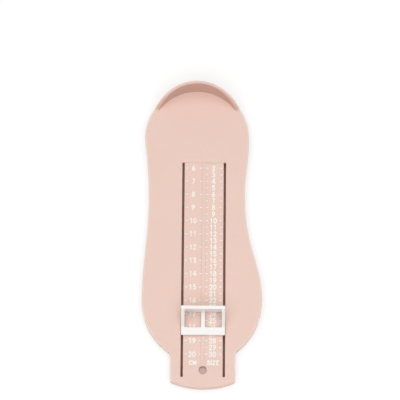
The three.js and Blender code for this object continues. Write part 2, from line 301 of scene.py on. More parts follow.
def side_edge_highlight_mask(finish, normal, outwards):
    """The rounded upper edge along both sides, where a highlight is painted paler."""
    upwards = finish.axis(normal, "Z")
    sideways = finish.axis(normal, "X")
    starts = finish.ramp(upwards, *ROUNDING_STARTS)
    ends = finish.ramp(upwards, *ROUNDING_ENDS)
    to_side = finish.ramp(sideways.maths("ABSOLUTE", sideways), *TURNS_TO_SIDE)
    return starts * (1 - ends) * to_side * finish.ramp(outwards, *TURNS_OUT)


def in_heel_cup(finish, height, outwards):
    """The inner face of the heel wall, where shade is painted."""
    above = finish.ramp(height, BASE_HEIGHT * MM, (BASE_HEIGHT + SHADE_RISES_OVER) * MM)
    return above * finish.ramp(0 - outwards, *TURNS_IN)


print("the heel's circle has a radius of", HEEL_RADIUS, "mm")

# %% Hang hole, corners of the ridge, and the rubbed bands beside the slots
HANG_HOLE_RADIUS = 3
HANG_HOLE_AT = 211.9
HOLE_EASE = 0.15
STRIP_FROM = 55.9
STRIP_TO = 209.7
RIDGE_HALF_WIDTH = 1.35
RIDGE_SHADE_WIDTH = 0.7
RIDGE_SHADE_EASE = 0.1
RIDGE_SHADE_END_EASE = 1
RIDGE_SHADE_LIES = (0, 0.5)
RUB_INNER = 13.5
RUB_OUTER = 18.5
RUB_EASE = 1.2
RUB_FROM = 62
RUB_TO = 210
RUB_FADE = 12
STREAK_SIZE = 1.2
STREAK_STRETCH = (1, 0.04, 1)


def in_hang_hole(finish):
    """A ball round the middle of the hole that just reaches its two rims; shade is painted inside
    it.
    """
    hole = TO_FRAME @ Vector((0, -HANG_HOLE_AT, BASE_HEIGHT / 2))
    from_hole = finish.vectors("DISTANCE", finish.place(), hole, "Value")
    reach = math.hypot(HANG_HOLE_RADIUS, BASE_HEIGHT / 2)
    return 1 - finish.ramp(from_hole, (reach - HOLE_EASE) * MM, reach * MM)


def span(finish, value, start, end, start_ease, end_ease):
    """From a start to an end in millimetres, with a soft stretch inside each."""
    begins = finish.ramp(value, start * MM, (start + start_ease) * MM)
    ends = finish.ramp(value, (end - end_ease) * MM, end * MM)
    return begins * (1 - ends)


def beside_ridge(finish, normal, from_middle, along):
    """Painted shade in the two corners of the ridge, where the surface faces up."""
    shade_to = RIDGE_HALF_WIDTH + RIDGE_SHADE_WIDTH
    across = span(finish, from_middle, RIDGE_HALF_WIDTH, shade_to, RIDGE_SHADE_EASE, RIDGE_SHADE_WIDTH)
    lengthways = span(finish, along, STRIP_FROM, STRIP_TO, RIDGE_SHADE_END_EASE, RIDGE_SHADE_END_EASE)
    return across * lengthways * finish.ramp(finish.axis(normal, "Z"), *RIDGE_SHADE_LIES)


def rubbed(finish, from_middle, along):
    """Streaks along both slots, where the slider runs."""
    streaks = finish.noise(STREAK_SIZE, CLOUD_DETAIL, STREAK_STRETCH)
    across = span(finish, from_middle, RUB_INNER, RUB_OUTER, RUB_EASE, RUB_EASE)
    ends = (RUB_FROM - RUB_FADE, RUB_TO + RUB_FADE)
    return streaks * across * span(finish, along, *ends, RUB_FADE, RUB_FADE)


print("the scale's strip runs from", STRIP_FROM, "to", STRIP_TO, "mm")

# %% The moulding's pink, with painted highlight and shade
PAINTED_EDGE_HIGHLIGHT = (1.05, 1.22, 1.27)
PAINTED_SHADE_PINK = (0.79, 0.66, 0.62)
PAINTED_RIDGE_SHADE = (0.84, 0.83, 0.82)
POLISH = 0.12

place = moulded.place()
sideways = moulded.axis(place, "X") - middle_x
from_middle = sideways.maths("ABSOLUTE", sideways)
along = zero_y - moulded.axis(place, "Y")
height = moulded.axis(place, "Z")
normal = moulded.node("ShaderNodeNewGeometry", {}, {}, "Normal")
outwards = facing_out(moulded, normal)
in_cup = in_heel_cup(moulded, height, outwards)
shaded_places = in_cup.maths("MAXIMUM", in_cup, in_hang_hole(moulded))
# Painted highlight: the rounded side edges are made paler than the plate.
edge_highlighted = moulded.multiplied(clouded_pink, side_edge_highlight_mask(moulded, normal, outwards), PAINTED_EDGE_HIGHLIGHT)
# Painted shade: a deeper pink in the heel cup and in the hang hole, where pink lights pink.
shade_painted = moulded.multiplied(edge_highlighted, shaded_places, PAINTED_SHADE_PINK)
ridge_shade = beside_ridge(moulded, normal, from_middle, along)
# Painted shade: a thin grey line in the corners beside the ridge.
ridge_shaded = moulded.multiplied(shade_painted, ridge_shade, PAINTED_RIDGE_SHADE)
moulded.set("Base Color", ridge_shaded)
moulded.set("Roughness", satin - rubbed(moulded, from_middle, along) * POLISH)
pink = moulded.material
print("pink plastic has", len(pink.node_tree.nodes), "nodes")

# %% [markdown]
# ## Raised characters
# The numbers stand up from the strip in the same plastic. Their thin, polished tops catch more
# light than the grained plate, so they read as pale against it. That paleness is a painted
# highlight: a slightly paler and glossier version of the same finish, though the real gauge has
# no print or paint.

# %% Paler plastic for the raised scale: a painted highlight
HIGHLIT_PINK = (1.0, 0.9, 0.85)
PALE_GLOW_DEPTH = 0.02
PALE_GLOSS = 0.8
PALE_POLISH = 0.12

raised, highlit_colour, pale_satin = satin_plastic(
    "pink_plastic_raised_painted_highlight", HIGHLIT_PINK, PALE_GLOW_DEPTH, PALE_GLOSS
)
# The paler colour stands in for light on the raised tops: a painted highlight.
raised.set("Base Color", highlit_colour)
raised.set("Roughness", pale_satin - PALE_POLISH)
pink_painted_highlight = raised.material
print("the raised plastic is ready")

# %% [markdown]
# ## White plastic
# The slider is smoother and shinier than the plate. White plastic shows its form mostly by
# gloss and by soft shadow, so the colour hardly varies, and the roughness carries the finish:
# broad clouds, and fine hairlines along the direction in which the slider is handled.

# %% White plastic for the slider
WHITE = (0.92, 0.893, 0.872)
WHITE_GLOW_DEPTH = 0.3
WHITE_SPREAD = (1, 0.9, 0.8)
WHITE_RANGE = (0.975, 1.015)
WHITE_CLOUD_SIZE = 9
WHITE_ROUGHNESS = 0.27
HAIRLINE_SIZE = 0.25
HAIRLINE_STRETCH = (1, 0.05, 0.3)
HAIRLINE_ROUGHNESS = 0.05
RIPPLE_SIZE = 0.5
RIPPLE_DEPTH = 0.008
RIPPLE_STRENGTH = 0.25

smooth_white = Finish("white_plastic", WHITE, WHITE_ROUGHNESS)
smooth_white.glow_inside(WHITE_GLOW_DEPTH, WHITE_SPREAD)
clouds = smooth_white.noise(WHITE_CLOUD_SIZE, CLOUD_DETAIL)
hairlines = smooth_white.noise(HAIRLINE_SIZE, stretch=HAIRLINE_STRETCH)
worn = clouds * CLOUD_ROUGHNESS + hairlines * HAIRLINE_ROUGHNESS
smooth_white.set("Base Color", smooth_white.mix(clouds, *tints(WHITE, WHITE_RANGE)))
smooth_white.set("Roughness", WHITE_ROUGHNESS + worn)
smooth_white.bump(smooth_white.noise(RIPPLE_SIZE), RIPPLE_DEPTH, RIPPLE_STRENGTH)
white = smooth_white.material
print("white plastic has", len(white.node_tree.nodes), "nodes")

# %% [markdown]
# ## From a bmesh to a piece
# Each piece is modelled in a bmesh, in millimetres. Finishing it is the same every time: take
# it to its place in metres, turn its faces outwards, and shade it smooth except at sharp
# corners. Weighted normals keep the large flat faces flat beside their small roundings.

# %% Helpers for working on a bmesh
SAME_PLACE = 0.001


def merged(bm, distance=SAME_PLACE):
    """Makes one point of points that lie together."""
    bmesh.ops.remove_doubles(bm, verts=bm.verts, dist=distance)


def rounded(bm, parts, offset, segments, affect="EDGES"):
    """Bevels edges or corners, with the settings that the editor would have."""
    settings = {"segments": segments, "profile": 0.5, "affect": affect, "material": -1}
    bmesh.ops.bevel(bm, geom=parts, offset=offset, **settings)


def points_in(parts):
    """The points among the parts that an operator gives back."""
    return [part for part in parts if isinstance(part, bmesh.types.BMVert)]


def as_bmesh(thing):
    """The mesh of an object or curve as a bmesh. The object is used up."""
    bm = bmesh.new()
    bm.from_mesh(thing.to_mesh())
    bpy.data.objects.remove(thing)
    return bm


# %% From a bmesh to an object, and to a finished piece
SHARP_ANGLE = math.radians(38)


def plain_object(bm, name):
    """Writes a bmesh to a new object and frees it."""
    mesh = bpy.data.meshes.new(name)
    bmesh.ops.recalc_face_normals(bm, faces=bm.faces)
    bm.to_mesh(mesh)
    bm.free()
    thing = bpy.data.objects.new(name, mesh)
    bpy.context.scene.collection.objects.link(thing)
    return thing


def finished_piece(bm, name, body, material):
    """Writes a bmesh in millimetres as a piece in its place, which rides on a body."""
    bmesh.ops.transform(bm, matrix=TO_FRAME, verts=bm.verts)
    piece = plain_object(bm, name)
    piece.data.materials.append(material)
    piece.data.shade_smooth()
    piece.data.set_sharp_from_angle(angle=SHARP_ANGLE)
    flat_stays_flat = piece.modifiers.new("flat_stays_flat", "WEIGHTED_NORMAL")
    flat_stays_flat.keep_sharp = True
    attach(piece, body)
    print(name, "has", len(piece.data.polygons), "faces")
    return piece


# %% [markdown]
# ## The outline of the foot
# Seen from above, the plate is a circle at the heel, an ellipse at the ball of the foot, easy
# curves between them and a tab at the toes. A Bezier curve holds it in twenty knots: an arc is
# drawn by handles of the right length, and the runs at the waist by handles of a chosen length.
# Its evaluated mesh is a ready loop of edges, so no point of it has to be worked out by hand.

# %% Sizes of the outline
WAIST_LEFT = Vector((-41.1, -86))
WAIST_RIGHT = Vector((30.5, -81))
BALL = Vector((-1, -160))
BALL_HALF_WIDTH = 44.4
BALL_END_LENGTH = 46.2
HEEL_EASE_LEFT = 6
HEEL_EASE_RIGHT = 22
WAIST_EASE_LEFT = 27
WAIST_EASE_RIGHT_HEEL = 20
WAIST_EASE_RIGHT_BALL = 40
BALL_EASE_LEFT = 28
BALL_EASE_RIGHT = 29
TAB_HALF_WIDTH = 23.9
TAB_END_AT = 225.2
TAB_END_RADIUS = 62
HEEL_ARCS = 6
CURVE_STEPS = 24


# %% The outline as a curve
def arc(centre, half_width, half_length, start, end, parts):
    """An ellipse's arc as Bezier pieces of four points."""
    step = (end - start) / parts
    reach = 4 / 3 * math.tan(step / 4)
    pieces = []
    for part in range(parts):
        points = []
        for angle, way in ((start + part * step, 1), (start + (part + 1) * step, -1)):
            along = Vector((-half_width * math.sin(angle), half_length * math.cos(angle)))
            on = centre + Vector((half_width * math.cos(angle), half_length * math.sin(angle)))
            points += [on, on + way * reach * along][::way]
        pieces.append(points)
    return pieces


def eased(start, start_ease, end, end_ease):
    """A run that leaves and ends along the length of the foot."""
    way = Vector((0, math.copysign(1, end.y - start.y)))
    return [start, start + start_ease * way, end - end_ease * way, end]


def outline_pieces(inset):
    """The outline, drawn inwards by an inset: heel, left side, ball, tab, ball, right side."""
    heel = Vector((HEEL_X, -HEEL_AT))
    heel_radius = HEEL_RADIUS - inset
    ball_x = BALL_HALF_WIDTH - inset
    ball_y = BALL_END_LENGTH - inset
    tab = TAB_HALF_WIDTH - inset
    end_radius = TAB_END_RADIUS - inset
    left = WAIST_LEFT + Vector((inset, 0))
    right = WAIST_RIGHT - Vector((inset, 0))
    ball_left = BALL - Vector((ball_x, 0))
    ball_right = BALL + Vector((ball_x, 0))
    left_angle = math.pi + math.acos((tab + BALL.x) / ball_x)
    right_angle = 2 * math.pi - math.acos((tab - BALL.x) / ball_x)
    corner = math.asin(tab / end_radius)
    end_centre = Vector((0, TAB_END_RADIUS - TAB_END_AT))
    down = 1.5 * math.pi
    tab_left = arc(BALL, ball_x, ball_y, math.pi, left_angle, 1)
    tab_end = arc(end_centre, end_radius, end_radius, down - corner, down + corner, 1)
    tab_right = arc(BALL, ball_x, ball_y, right_angle, 2 * math.pi, 1)
    return [
        *arc(heel, heel_radius, heel_radius, 0, math.pi, HEEL_ARCS),
        eased(heel - Vector((heel_radius, 0)), HEEL_EASE_LEFT, left, WAIST_EASE_LEFT),
        eased(left, WAIST_EASE_LEFT, ball_left, BALL_EASE_LEFT),
        *tab_left,
        [tab_left[-1][3], tab_end[0][0]],
        *tab_end,
        [tab_end[-1][3], tab_right[0][0]],
        *tab_right,
        eased(ball_right, BALL_EASE_RIGHT, right, WAIST_EASE_RIGHT_BALL),
        eased(right, WAIST_EASE_RIGHT_HEEL, heel + Vector((heel_radius, 0)), HEEL_EASE_RIGHT),
    ]


def outline_face(inset):
    """A bmesh that holds one face, the outline at floor level."""
    pieces = outline_pieces(inset)
    curve = bpy.data.curves.new("outline", "CURVE")
    curve.dimensions = "3D"
    curve.resolution_u = CURVE_STEPS
    spline = curve.splines.new("BEZIER")
    spline.use_cyclic_u = True
    spline.bezier_points.add(len(pieces) - 1)
    for knot, before, after in zip(spline.bezier_points, pieces[-1:] + pieces, pieces):
        knot.co = after[0].to_3d()
        knot.handle_left_type = "VECTOR" if len(before) == 2 else "FREE"
        knot.handle_right_type = "VECTOR" if len(after) == 2 else "FREE"
        if len(before) == 4:
            knot.handle_left = before[2].to_3d()
        if len(after) == 4:
            knot.handle_right = after[1].to_3d()
    bm = as_bmesh(bpy.data.objects.new("outline", curve))
    merged(bm)
    bmesh.ops.contextual_create(bm, geom=bm.edges[:])
    return bm


foot = outline_face(0)
print("the outline has", len(foot.verts), "points")

# %% [markdown]
# ## The heel wall's rim
# From the side, the rim falls from the back of the heel to the plate in a line that bulges a
# little. This is one quadratic curve, so the wall's height at any place along the foot has a
# plain formula, which the next cell uses to lift the plate's edge into the wall.

# %% How high the wall stands above the plate
WALL_HEIGHT = 21
WALL_FRONT = -15.6
RIM_BULGE = 1.2


def wall_height(y):
    """Height of the rim above the plate, at a place along the foot."""
    back = Vector((RIM_THICKNESS, WALL_HEIGHT))
    front = Vector((WALL_FRONT, 0))
    chord = (back - front).normalized()
    handle = (back + front) / 2 + 2 * RIM_BULGE * Vector((-chord.y, chord.x))
    bend = back.x - 2 * handle.x + front.x
    slope = handle.x - back.x
    share = (-slope - math.sqrt(max(0, slope**2 - bend * (back.x - y)))) / bend
    share = min(1, max(0, share))
    return (1 - share) ** 2 * WALL_HEIGHT + 2 * share * (1 - share) * handle.y


print("rim heights:", [round(wall_height(y), 1) for y in (RIM_THICKNESS, 0, WALL_FRONT / 2)])

# %% [markdown]
# ## The moulding's skin
# The plate, its skirt and its wall are one skin. It starts as the face of the outline on the
# floor. The face's edge loop is then extruded again and again, and each new loop is put where
# the section says: up the skirt, over the rim, down the wall's inner face, through the fillet
# at its foot, and onto the plate. Away from the heel the wall has no height, so its loops fall
# together and are merged. This gives every edge its real rounding, which a cut couldn't.

# %% Section of the moulding's edge
EDGE_ROUNDING = 1.1
INNER_RIM_ROUNDING = 0.8
FOOT_FILLET = 0.3
FLOOR_ROUNDING = 0.3
CORNER_TURN = math.radians(15)
CORNER_ROUNDING = 1.2
CORNER_STEPS = 4
WALL_DRAFT = 1.1
HEEL_ZONE = (-19, -27)
PLATE_MARGIN = 0.5
ROUND_STEPS = 5

quarter = [math.pi / 2 * step / (ROUND_STEPS - 1) for step in range(ROUND_STEPS)]
SECTION = (
    [("floor", angle) for angle in reversed(quarter)]
    + [("outside", angle) for angle in quarter]
    + [("inside", angle) for angle in reversed(quarter)]
    + [("foot", angle) for angle in quarter]
    + [("plate", 0)]
)


def section_point(part, angle, place, inward):
    """Where one loop of the skin passes, at a place on the outline."""
    short = 1 - math.cos(angle)
    low = 1 - math.sin(angle)
    foot_offset = RIM_THICKNESS + WALL_DRAFT
    height = wall_height(place.y + inward.y * RIM_THICKNESS)
    rounding = min(INNER_RIM_ROUNDING, height / 2)
    fillet = min(FOOT_FILLET, height / 2)
    share = min(1, max(0, (place.y - HEEL_ZONE[1]) / (HEEL_ZONE[0] - HEEL_ZONE[1])))
    if part == "floor":
        offset = FLOOR_ROUNDING * short
        z = FLOOR_ROUNDING * low
    elif part == "outside":
        offset = EDGE_ROUNDING * short
        z = BASE_HEIGHT + wall_height(place.y + inward.y * offset) - EDGE_ROUNDING * low
    elif part == "inside":
        reach = foot_offset - WALL_DRAFT * height / WALL_HEIGHT - rounding * short
        offset = EDGE_ROUNDING + (reach - EDGE_ROUNDING) * share
        rise = wall_height(place.y + inward.y * offset)
        z = BASE_HEIGHT + max(0, rise - rounding * low)
    elif part == "foot":
        reach = foot_offset + fillet * short
        offset = EDGE_ROUNDING + (reach - EDGE_ROUNDING) * share
        z = BASE_HEIGHT + fillet * low
    else:
        reach = foot_offset + fillet + PLATE_MARGIN
        offset = EDGE_ROUNDING + (reach - EDGE_ROUNDING) * share
        z = BASE_HEIGHT
    return (place + inward * offset).to_3d() + Vector((0, 0, z))


# %% Rounded corners of the tab, and the way inwards at each point
def ways_inwards(bm):
    """Numbers the points of a lone face and gives each one's place and mitred inward step."""
    number = bm.verts.layers.int.new("number")
    bm.faces.ensure_lookup_table()
    face = bm.faces[0]
    face.normal_update()
    ways = []
    for loop in face.loops:
        here = loop.vert.co
        before = (here - loop.link_loop_prev.vert.co).normalized()
        after = (loop.link_loop_next.vert.co - here).normalized()
        side_before = face.normal.cross(before)
        mitre = (side_before + face.normal.cross(after)).normalized()
        loop.vert[number] = len(ways)
        ways.append((here.to_2d(), (mitre / mitre.dot(side_before)).to_2d()))
    return number, ways


foot.faces.ensure_lookup_table()
loops = foot.faces[0].loops
corners = [loop.vert for loop in loops if abs(math.pi - loop.calc_angle()) > CORNER_TURN]
rounded(foot, corners, CORNER_ROUNDING, CORNER_STEPS, "VERTICES")
number, ways = ways_inwards(foot)
print(len(corners), "corners rounded,", len(ways), "points round the foot")


# %% Extruding the edge loop along the section
def placed(points, station):
    """Puts the points of one loop where the section says."""
    for point in points:
        place, inward = ways[point[number]]
        point.co = section_point(*station, place, inward)


def extruded_loop(bm, edges, station):
    """Extrudes a closed loop of edges once, to the next loop of the section."""
    made = bmesh.ops.extrude_edge_only(bm, edges=edges)["geom"]
    points = set(points_in(made))
    placed(points, station)
    lines = [part for part in made if isinstance(part, bmesh.types.BMEdge)]
    return [line for line in lines if line.verts[0] in points and line.verts[1] in points]


placed(foot.verts, SECTION[0])
loop = foot.edges[:]
for station in SECTION[1:]:
    loop = extruded_loop(foot, loop, station)
bmesh.ops.contextual_create(foot, geom=loop)
merged(foot, 2 * SAME_PLACE)
skin_faces = len(foot.faces)
moulding = plain_object(foot, "moulding")
print("the skin has", skin_faces, "faces")

# %% [markdown]
# ## Joining and cutting solids
# Slots, a hollow and ribs are what Boolean modifiers are good at: each is a simple solid that
# is added or taken away. The exact solver copes with faces that lie on each other. A modifier
# left live would be worked out again at every change, so its result is written to the mesh.

# %% Helpers for solids
def block(bm, x0, x1, start, end, z0, z1):
    """A box in a bmesh, with its lengthways places given from the scale's zero."""
    middle = Vector((x0 + x1, -start - end, z0 + z1)) / 2
    size = Matrix.Diagonal((x1 - x0, end - start, z1 - z0, 1))
    return bmesh.ops.create_cube(bm, size=1, matrix=Matrix.Translation(middle) @ size)["verts"]


def side_blocks(bm, inner, outer, start, end, z0, z1):
    """The same box on both sides of the middle line."""
    block(bm, -outer, -inner, start, end, z0, z1)
    block(bm, inner, outer, start, end, z0, z1)


def combined(main, bm, operation):
    """Joins or cuts an object with the solid in a bmesh, which is used up."""
    other = plain_object(bm, "other")
    change = main.modifiers.new("change", "BOOLEAN")
    change.operation = operation
    change.object = other
    change.solver = "EXACT"
    change.use_self = True
    graph = bpy.context.evaluated_depsgraph_get()
    result = bpy.data.meshes.new_from_object(main.evaluated_get(graph))
    main.modifiers.clear()
    main.data = result
    bpy.data.objects.remove(other)


# %% [markdown]
# ## Underneath the plate
# A moulding of this kind is a thin shell: a plate 2.2 mm thick with a skirt, stiffened by ribs.
# The space underneath is made first as a solid, the outline drawn in by the skirt's thickness.
# What stands in it is taken out of it: the ribs, the collars round the slots, and the boss of
# the hang hole. One cut with what is left then hollows the moulding and leaves them standing.

# %% The hollow, with the ribs that are left in it
PLATE_THICKNESS = 2.2
SKIRT_THICKNESS = 1.8
RIB_THICKNESS = 1.5
RIB_LIFT = 1.0
OVERRUN = 1.0
PLATE_UNDERSIDE = BASE_HEIGHT - PLATE_THICKNESS
SLOT_SPACING = 30.9
SLOT_WIDTH = 1.8
SLOT_FROM = 55.7
SLOT_TO = 216.8
SLOT_BOTTOM = 5.0
SLOT_INNER = (SLOT_SPACING - SLOT_WIDTH) / 2
SLOT_OUTER = (SLOT_SPACING + SLOT_WIDTH) / 2
CHANNEL_MARGIN = 1.2
CHANNEL_SIDE = (keeper_high.x - middle_x) / MM + CHANNEL_MARGIN
CROSS_RIBS_AT = (89, 126, 163)
HEEL_RIB_SPACING = 18.5
HEEL_RIB_TO = SLOT_FROM - PLATE_THICKNESS
HANG_BOSS_WALL = 1.6
HOLE_SIDES = 48


def post(bm, radius, z0, z1):
    """An upright cylinder round the hang hole's middle."""
    middle = Matrix.Translation((0, -HANG_HOLE_AT, (z0 + z1) / 2))
    bmesh.ops.create_cone(
        bm,
        cap_ends=True,
        segments=HOLE_SIDES,
        radius1=radius,
        radius2=radius,
        depth=z1 - z0,
        matrix=middle,
    )


def ribs():
    """Everything that stands under the plate, up into it."""
    bm = bmesh.new()
    wide = BALL_HALF_WIDTH + HEEL_RADIUS
    top = PLATE_UNDERSIDE + OVERRUN
    start = HEEL_RIB_TO - RIB_THICKNESS
    tab_angle = math.acos((TAB_HALF_WIDTH - SKIRT_THICKNESS) / BALL_HALF_WIDTH)
    tab_from = -BALL.y + BALL_END_LENGTH * math.sin(tab_angle)
    block(bm, -wide, wide, start, HEEL_RIB_TO, RIB_LIFT, top)
    for step in (-1, 0, 1):
        x = HEEL_X + step * HEEL_RIB_SPACING
        half = RIB_THICKNESS / 2
        block(bm, x - half, x + half, -OVERRUN, start + half, RIB_LIFT, top)
    for at in (*CROSS_RIBS_AT, tab_from - RIB_THICKNESS):
        side_blocks(bm, CHANNEL_SIDE, wide, at, at + RIB_THICKNESS, RIB_LIFT, top)
    long_rib = CHANNEL_SIDE + RIB_THICKNESS
    side_blocks(bm, CHANNEL_SIDE, long_rib, start, tab_from, RIB_LIFT, top)
    collar_sides = (SLOT_INNER - RIB_THICKNESS, SLOT_OUTER + RIB_THICKNESS)
    collar_ends = (SLOT_FROM - RIB_THICKNESS, SLOT_TO + RIB_THICKNESS)
    side_blocks(bm, *collar_sides, *collar_ends, SLOT_BOTTOM, top)
    post(bm, HANG_HOLE_RADIUS + HANG_BOSS_WALL, RIB_LIFT, top)
    return bm


def lifted(bm, way):
    """Extrudes every face one way, so that a flat outline becomes a closed solid."""
    made = bmesh.ops.extrude_face_region(bm, geom=bm.faces[:], use_keep_orig=True)["geom"]
    bmesh.ops.translate(bm, vec=way, verts=points_in(made))


space = outline_face(SKIRT_THICKNESS)
bmesh.ops.translate(space, vec=(0, 0, -OVERRUN), verts=space.verts)
lifted(space, Vector((0, 0, PLATE_UNDERSIDE + OVERRUN)))
hollow = plain_object(space, "hollow")
combined(hollow, ribs(), "DIFFERENCE")
combined(moulding, as_bmesh(hollow), "DIFFERENCE")
print("after hollowing:", len(moulding.data.polygons), "faces")

# %% [markdown]
# ## Slots, scale strip and hang hole
# The strip between the slots lies 0.4 mm lower than the plate, so that the raised numbers don't
# rub on the slider, and a low ridge runs along its middle. The slots have small round corners,
# which their cutters already have, because a bevel is easier on a plain box than in a deep cut.

# %% Cutting the slots, the strip and the hole
STRIP_RECESS = 0.4
STRIP_TOP = BASE_HEIGHT - STRIP_RECESS
RIDGE_HEIGHT = 0.35
SLOT_CORNER = 0.35
SMALL_STEPS = 3


def upright_edges(bm):
    """Edges that rise by more than half of their length."""
    chosen = []
    for edge in bm.edges:
        low, high = [end.co for end in edge.verts]
        if abs(high.z - low.z) > edge.calc_length() / 2:
            chosen.append(edge)
    return chosen


above = BASE_HEIGHT + OVERRUN
slot_cutter = bmesh.new()
side_blocks(slot_cutter, SLOT_INNER, SLOT_OUTER, SLOT_FROM, SLOT_TO, -OVERRUN, above)
rounded(slot_cutter, upright_edges(slot_cutter), SLOT_CORNER, SMALL_STEPS)
combined(moulding, slot_cutter, "DIFFERENCE")

strip_cutter = bmesh.new()
slot_middle = SLOT_SPACING / 2
block(strip_cutter, -slot_middle, slot_middle, STRIP_FROM, STRIP_TO, STRIP_TOP, above)
combined(moulding, strip_cutter, "DIFFERENCE")

ridge = bmesh.new()
ridge_ends = (STRIP_FROM - OVERRUN, STRIP_TO + OVERRUN)
ridge_levels = (PLATE_UNDERSIDE + OVERRUN, STRIP_TOP + RIDGE_HEIGHT)
block(ridge, -RIDGE_HALF_WIDTH, RIDGE_HALF_WIDTH, *ridge_ends, *ridge_levels)
combined(moulding, ridge, "UNION")

hole_cutter = bmesh.new()
post(hole_cutter, HANG_HOLE_RADIUS, -OVERRUN, above)
combined(moulding, hole_cutter, "DIFFERENCE")
print("after the cuts:", len(moulding.data.polygons), "faces")

# %% [markdown]
# ## Softening the cut edges
# A cut leaves a knife edge, which catches no light. Moulded edges are broken by a small radius,
# and that thin bright line is much of what makes plastic look real. Only the upper edges round
# the scale get it: they are found by height, by place and by the angle between their faces.

# %% Rounding the upper edges of the slots, strip, ridge and hole
CUT_ROUNDING = 0.2
CUT_TURN = math.radians(50)
NEAR = 0.1


def sharp_edges(bm, least):
    """Edges at which the surface turns by more than an angle."""
    bm.normal_update()
    return [edge for edge in bm.edges if edge.is_manifold and edge.calc_face_angle(0) > least]


def is_on_scale(edge):
    """True for a convex edge on the top of the moulding, in the part that holds the scale."""
    ends = [end.co for end in edge.verts]
    on_top = all(end.z > STRIP_TOP - NEAR for end in ends)
    between_slots = all(abs(end.x) < SLOT_OUTER + NEAR for end in ends)
    past_start = all(-end.y > SLOT_FROM - NEAR for end in ends)
    return edge.is_convex and on_top and between_slots and past_start


plate = as_bmesh(moulding)
merged(plate)
edges = [edge for edge in sharp_edges(plate, CUT_TURN) if is_on_scale(edge)]
print(len(edges), "edges to round")
rounded(plate, edges, CUT_ROUNDING, SMALL_STEPS)
foot_plate = finished_piece(plate, "foot_plate", "base", pink)
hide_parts("base_shell")

# %% [markdown]
# ## Scale marks
# The short marks at each centimetre, and at each shoe size of half a centimetre, are small raised
# bars. Each is a cube brought to size, with its edges rounded, and a loop sets it in its place.
# They go 0.1 mm into the strip, so that no gap of light shows under them.

# %% Marks along both scales
SCALE_FROM = 60
SCALE_TO = 200
CENTIMETRE = 10
SIZE_STEP = 5
MARK_LENGTH = 1.9
HALF_MARK_LENGTH = 1.4
MARK_THICKNESS = 0.7
MARK_HEIGHT = 0.3
MARK_EDGE_GAP = 0.9
MARK_ROUNDING = 0.12
MARK_STEPS = 2
SINK = 0.1


def places(step):
    """Where the marks of one scale stand, in millimetres."""
    return range(SCALE_FROM, SCALE_TO + 1, step)


def marks(name, side, step):
    """Raised bars at both sides of one scale."""
    bm = bmesh.new()
    outer_end = SLOT_INNER - MARK_EDGE_GAP
    for at in places(step):
        length = HALF_MARK_LENGTH if at % CENTIMETRE else MARK_LENGTH
        start = at - MARK_THICKNESS / 2
        end = at + MARK_THICKNESS / 2
        for inner in (RIDGE_HALF_WIDTH, outer_end - length):
            ends = sorted((side * inner, side * (inner + length)))
            block(bm, *ends, start, end, STRIP_TOP - SINK, STRIP_TOP + MARK_HEIGHT)
    rounded(bm, bm.edges[:], MARK_ROUNDING, MARK_STEPS)
    # The marks' paler colour is a painted highlight.
    finished_piece(bm, name, "base", pink_painted_highlight)


marks("centimetre_marks", -1, CENTIMETRE)
marks("size_marks", 1, SIZE_STEP)

# %% [markdown]
# ## Raised numbers
# The numbers could come from a font, but a mould maker engraves them with a round cutter that
# follows one line, so their strokes are even and their ends are round. Here each character is
# one or two short strokes in a cell one unit high. Round points are smooth, and at a sharp point
# the cutter stops and turns. A curve with a round bevel draws the beads, and balls close their
# ends and corners. A flat slab then keeps only what stands in it: the exact solver joins the
# beads that cross, and their tops come out flat, as from a polished mould. Their paler colour is
# a painted highlight.

# %% The characters as strokes
ROUND = "AUTO"
SHARP = "VECTOR"


def smooth(*points):
    return [(x, y, ROUND) for x, y in points]


def straight(*points):
    return [(x, y, SHARP) for x, y in points]


SIX = smooth(
    (0.44, 1), (0.17, 0.66), (0.06, 0.3), (0.3, 0), (0.54, 0.29), (0.3, 0.58), (0.1, 0.42)
)
OVAL = smooth(
    (0.3, 1), (0.06, 0.68), (0.06, 0.32), (0.3, 0), (0.54, 0.32), (0.54, 0.68), (0.3, 1)
)
HOOK = smooth((0.07, 0.76), (0.3, 1), (0.52, 0.74), (0.4, 0.46))
BELLY = smooth((0.32, 0.63), (0.54, 0.32), (0.3, 0), (0.05, 0.14))
BEND = smooth(
    (0.53, 0.84), (0.3, 1), (0.08, 0.77), (0.3, 0.52), (0.54, 0.25), (0.3, 0), (0.05, 0.16)
)
CHARACTERS = {
    "0": [OVAL],
    "1": [straight((0.12, 0.8), (0.33, 1), (0.33, 0))],
    "2": [HOOK + straight((0.06, 0), (0.56, 0))],
    "3": [
        smooth((0.08, 0.86), (0.3, 1), (0.5, 0.78))
        + straight((0.26, 0.54))
        + smooth((0.54, 0.27), (0.3, 0), (0.05, 0.16))
    ],
    "4": [straight((0.46, 0), (0.46, 1), (0, 0.3), (0.62, 0.3))],
    "5": [straight((0.51, 1), (0.14, 1), (0.1, 0.55)) + BELLY],
    "6": [SIX],
    "7": [straight((0.05, 1), (0.55, 1), (0.22, 0))],
    "8": [
        smooth((0.3, 1), (0.11, 0.78), (0.3, 0.54), (0.49, 0.78), (0.3, 1)),
        smooth((0.3, 0.54), (0.06, 0.27), (0.3, 0), (0.54, 0.27), (0.3, 0.54)),
    ],
    "9": [[(0.6 - x, 1 - y, kind) for x, y, kind in SIX]],
    "C": [smooth((0.55, 0.82), (0.32, 1), (0.06, 0.68), (0.06, 0.32), (0.32, 0), (0.55, 0.18))],
    "M": [straight((0.05, 0), (0.05, 1), (0.36, 0.25), (0.67, 1), (0.67, 0))],
    "S": [BEND],
    "I": [straight((0.06, 0), (0.06, 1))],
    "Z": [straight((0.06, 1), (0.54, 1), (0.06, 0), (0.54, 0))],
    "E": [straight((0.5, 1), (0.07, 1), (0.07, 0), (0.5, 0)), straight((0.07, 0.52), (0.42, 0.52))],
}
